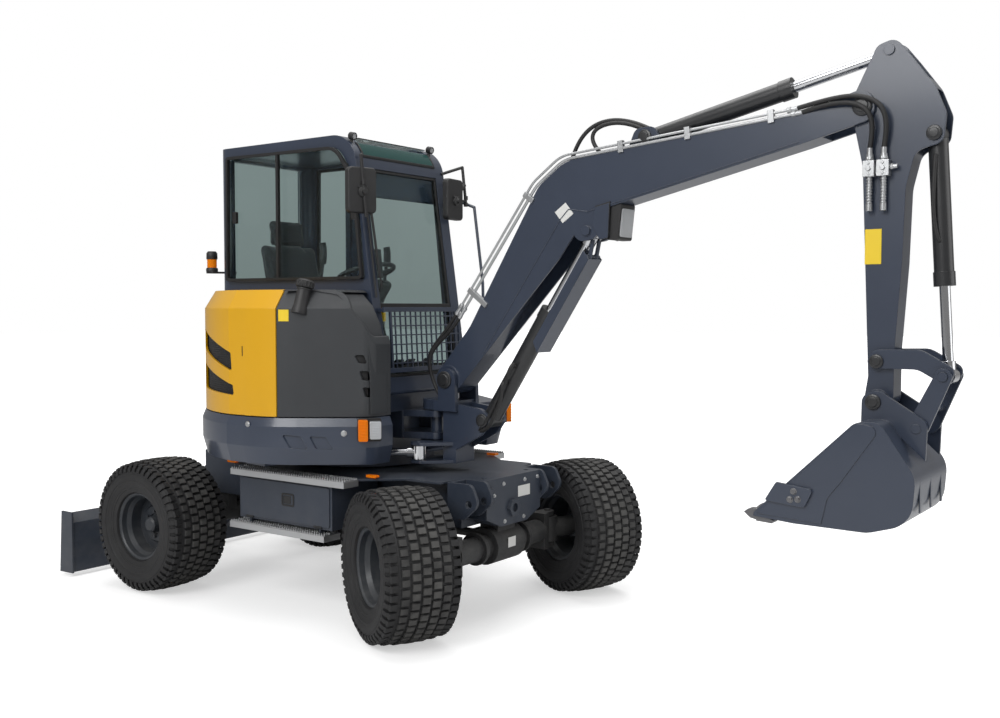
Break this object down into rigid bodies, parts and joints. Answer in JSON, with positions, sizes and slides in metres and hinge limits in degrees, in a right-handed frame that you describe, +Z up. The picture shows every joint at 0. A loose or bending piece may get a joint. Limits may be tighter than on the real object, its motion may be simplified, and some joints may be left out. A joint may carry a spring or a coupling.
{
  "type": "wheeled excavator",
  "caption": "Compact wheeled excavator with a slewing cab house, a swing post with a two-piece boom and bucket, a rear dozer blade and steered front wheels.",
  "frame": {"origin": "on the ground under the slew axis, midway between the wheels", "axes": "+X forward towards the boom, +Y the machine's left, +Z up"},
  "size_m": [5.1672, 2.0592, 2.822],
  "materials": {
    "slate_paint": "satin slate blue-grey paint",
    "yellow_paint": "satin golden yellow paint",
    "dark_casting": "dark painted casting",
    "tyre": "ribbed rubber",
    "glass": "green-tinted safety glass",
    "barrel_black": "near-black gloss",
    "rod_chrome": "polished",
    "zinc": "galvanised",
    "seat_cloth": "dark woven cloth",
    "black_plastic": "matt",
    "lamp": "clear and amber"
  },
  "bodies": {
    "chassis": {"chassis_frame": "slate_paint", "front_crossmember": "slate_paint", "front_axle": "dark_casting", "rear_axle": "dark_casting", "drive_shaft": "dark_casting", "side_steps": "zinc", "side_boxes": "slate_paint", "steering_cylinder": "barrel_black"},
    "knuckle_right": {"knuckle_right": "dark_casting"},
    "knuckle_left": {"knuckle_left": "dark_casting"},
    "wheel_front_right": {"tyre_front_right": "tyre", "rim_front_right": "slate_paint"},
    "wheel_front_left": {"tyre_front_left": "tyre", "rim_front_left": "slate_paint"},
    "wheel_rear_right": {"tyre_rear_right": "tyre", "rim_rear_right": "slate_paint"},
    "wheel_rear_left": {"tyre_rear_left": "tyre", "rim_rear_left": "slate_paint"},
    "steering_rod": {"steering_rod": "rod_chrome"},
    "tie_rod_right": {"tie_rod_right": "dark_casting"},
    "tie_rod_left": {"tie_rod_left": "dark_casting"},
    "blade": {"blade": "slate_paint"},
    "blade_barrel": {"blade_barrel": "barrel_black"},
    "blade_rod": {"blade_rod": "rod_chrome"},
    "house": {"house_base": "slate_paint", "counterweight": "slate_paint", "side_panels": "slate_paint", "engine_block": "dark_casting", "cab_frame": "slate_paint", "cab_glass": "glass", "seat_base": "black_plastic", "seat_cushions": "seat_cloth", "consoles": "black_plastic", "mirrors": "black_plastic", "front_guard": "black_plastic", "lamps": "lamp", "handrail": "slate_paint", "filler_neck": "black_plastic"},
    "hood": {"engine_hood": "yellow_paint"},
    "door": {"cab_door": "slate_paint", "cab_door_glass": "glass"},
    "swing_post": {"swing_post": "slate_paint"},
    "swing_barrel": {"swing_barrel": "barrel_black"},
    "swing_rod": {"swing_rod": "rod_chrome"},
    "boom": {"boom": "slate_paint", "work_light": "slate_paint", "boom_pipes": "zinc"},
    "boom_barrel": {"boom_barrel": "barrel_black"},
    "boom_rod": {"boom_rod": "rod_chrome"},
    "arm_barrel": {"arm_barrel": "barrel_black"},
    "arm_rod": {"arm_rod": "rod_chrome"},
    "arm": {"arm": "slate_paint", "arm_valves": "zinc"},
    "bucket_barrel": {"bucket_barrel": "barrel_black"},
    "bucket_rod": {"bucket_rod": "rod_chrome"},
    "rocker": {"rocker": "slate_paint"},
    "bucket_link": {"bucket_link": "slate_paint"},
    "bucket": {"bucket": "slate_paint", "bucket_teeth": "slate_paint", "side_cutters": "slate_paint"}
  },
  "joints": [
    {"name": "slew", "type": "hinge", "parent": "chassis", "child": "house", "pos_m": [0, 0, 0.79], "axis": [0, 0, 1], "continuous": true},
    {"name": "boom_swing", "type": "hinge", "parent": "house", "child": "swing_post", "pos_m": [0.605, -0.05, 1], "axis": [0, 0, 1], "range_deg": [-50, 70]},
    {"name": "swing_barrel_hinge", "type": "hinge", "parent": "house", "child": "swing_barrel", "pos_m": [-0.02, -0.66, 0.89], "axis": [0, 0, 1], "range_deg": [-4.72, 3.37]},
    {"name": "swing_rod_slide", "type": "slide", "parent": "swing_barrel", "child": "swing_rod", "axis": [0.8134, 0.5817, 0], "range_m": [-0.1025, 0.1431]},
    {"name": "boom_lift", "type": "hinge", "parent": "swing_post", "child": "boom", "pos_m": [0.745, -0.05, 1.296], "axis": [0, -1, 0], "range_deg": [-55, 40]},
    {"name": "boom_barrel_hinge", "type": "hinge", "parent": "swing_post", "child": "boom_barrel", "pos_m": [0.985, -0.05, 1.082], "axis": [0, -1, 0], "range_deg": [-56.36, 40.99]},
    {"name": "boom_rod_slide", "type": "slide", "parent": "boom_barrel", "child": "boom_rod", "axis": [0.546, 0, 0.8378], "range_m": [-0.2858, 0.2081]},
    {"name": "arm_curl", "type": "hinge", "parent": "boom", "child": "arm", "pos_m": [3.006, -0.05, 2.554], "axis": [0, 1, 0], "range_deg": [-60, 36]},
    {"name": "arm_barrel_hinge", "type": "hinge", "parent": "boom", "child": "arm_barrel", "pos_m": [1.958, -0.05, 2.521], "axis": [0, 1, 0], "range_deg": [-6.32, 3.79]},
    {"name": "arm_rod_slide", "type": "slide", "parent": "arm_barrel", "child": "arm_rod", "axis": [0.9752, 0, 0.2211], "range_m": [-0.2165, 0.1303]},
    {"name": "bucket_curl", "type": "hinge", "parent": "arm", "child": "bucket", "pos_m": [3.085, -0.05, 1.294], "axis": [0, 1, 0], "range_deg": [-85, 55]},
    {"name": "rocker_hinge", "type": "hinge", "parent": "arm", "child": "rocker", "pos_m": [3.084, -0.05, 1.465], "axis": [0, 1, 0], "range_deg": [-67.06, 43.39]},
    {"name": "link_hinge", "type": "hinge", "parent": "rocker", "child": "bucket_link", "pos_m": [3.359, -0.05, 1.41], "axis": [0, 1, 0], "range_deg": [-28.33, 43.78]},
    {"name": "bucket_barrel_hinge", "type": "hinge", "parent": "arm", "child": "bucket_barrel", "pos_m": [3.297, -0.05, 2.417], "axis": [0, 1, 0], "range_deg": [-1.08, 0.7]},
    {"name": "bucket_rod_slide", "type": "slide", "parent": "bucket_barrel", "child": "bucket_rod", "axis": [0.0615, 0, -0.9981], "range_m": [-0.2887, 0.1872]},
    {"name": "blade_lift", "type": "hinge", "parent": "chassis", "child": "blade", "pos_m": [-1.21, 0, 0.56], "axis": [0, 1, 0], "range_deg": [-8, 25]},
    {"name": "blade_barrel_hinge", "type": "hinge", "parent": "chassis", "child": "blade_barrel", "pos_m": [-1.19, 0, 0.7], "axis": [0, 1, 0], "range_deg": [-6.71, 20.98]},
    {"name": "blade_rod_slide", "type": "slide", "parent": "blade_barrel", "child": "blade_rod", "axis": [-0.6508, 0, -0.7593], "range_m": [-0.041, 0.0138]},
    {"name": "cab_door", "type": "hinge", "parent": "house", "child": "door", "pos_m": [-0.398, 0.363, 2], "axis": [0, 0, 1], "range_deg": [0, 95]},
    {"name": "engine_hood", "type": "hinge", "parent": "house", "child": "hood", "pos_m": [-0.505, 0.735, 1.45], "axis": [0, 0, -1], "range_deg": [0, 60]},
    {"name": "steer_right", "type": "hinge", "parent": "chassis", "child": "knuckle_right", "pos_m": [0.992, -0.501, 0.3935], "axis": [0, 0, 1], "range_deg": [-4.7, 56.3]},
    {"name": "steer_left", "type": "hinge", "parent": "chassis", "child": "knuckle_left", "pos_m": [0.992, 0.501, 0.3935], "axis": [0, 0, 1], "range_deg": [-3.94, 47.13]},
    {"name": "steering_rod_slide", "type": "slide", "parent": "chassis", "child": "steering_rod", "axis": [0, 1, 0], "range_m": [-0.1334, 0.0121]},
    {"name": "tie_rod_right_hinge", "type": "hinge", "parent": "steering_rod", "child": "tie_rod_right", "pos_m": [0.842, -0.23514, 0.3495], "axis": [0, 0, 1], "range_deg": [-3.79, 0.32]},
    {"name": "tie_rod_left_hinge", "type": "hinge", "parent": "steering_rod", "child": "tie_rod_left", "pos_m": [0.842, 0.36486, 0.3495], "axis": [0, 0, 1], "range_deg": [-0.21, 2.53]},
    {"name": "wheel_front_right_spin", "type": "hinge", "parent": "knuckle_right", "child": "wheel_front_right", "pos_m": [0.88296, -0.70351, 0.3935], "axis": [0.4741, 0.8805, 0], "continuous": true},
    {"name": "wheel_rear_right_spin", "type": "hinge", "parent": "chassis", "child": "wheel_rear_right", "pos_m": [-0.992, -0.731, 0.3935], "axis": [0, 1, 0], "continuous": true},
    {"name": "wheel_front_left_spin", "type": "hinge", "parent": "knuckle_left", "child": "wheel_front_left", "pos_m": [1.08187, 0.71272, 0.3935], "axis": [0.3907, 0.9205, 0], "continuous": true},
    {"name": "wheel_rear_left_spin", "type": "hinge", "parent": "chassis", "child": "wheel_rear_left", "pos_m": [-0.992, 0.731, 0.3935], "axis": [0, 1, 0], "continuous": true}
  ],
  "couplings": [
    {"joint": "swing_barrel_hinge", "follows": "boom_swing", "ratio": -0.0655},
    {"joint": "swing_rod_slide", "follows": "boom_swing", "m_per_rad": 0.1129},
    {"joint": "boom_barrel_hinge", "follows": "boom_lift", "ratio": 0.9948},
    {"joint": "boom_rod_slide", "follows": "boom_lift", "m_per_rad": 0.288},
    {"joint": "arm_barrel_hinge", "follows": "arm_curl", "ratio": 0.1023},
    {"joint": "arm_rod_slide", "follows": "arm_curl", "m_per_rad": 0.1998},
    {"joint": "rocker_hinge", "follows": "bucket_curl", "ratio": 0.766},
    {"joint": "link_hinge", "follows": "bucket_curl", "ratio": -0.5},
    {"joint": "bucket_barrel_hinge", "follows": "bucket_curl", "ratio": 0.0123},
    {"joint": "bucket_rod_slide", "follows": "bucket_curl", "m_per_rad": 0.1883},
    {"joint": "blade_barrel_hinge", "follows": "blade_lift", "ratio": 0.8148},
    {"joint": "blade_rod_slide", "follows": "blade_lift", "m_per_rad": -0.0891},
    {"joint": "steer_left", "follows": "steer_right", "ratio": 0.81272},
    {"joint": "steering_rod_slide", "follows": "steer_right", "m_per_rad": -0.1308},
    {"joint": "tie_rod_right_hinge", "follows": "steer_right", "ratio": -0.0654},
    {"joint": "tie_rod_left_hinge", "follows": "steer_right", "ratio": 0.0436}
  ]
}
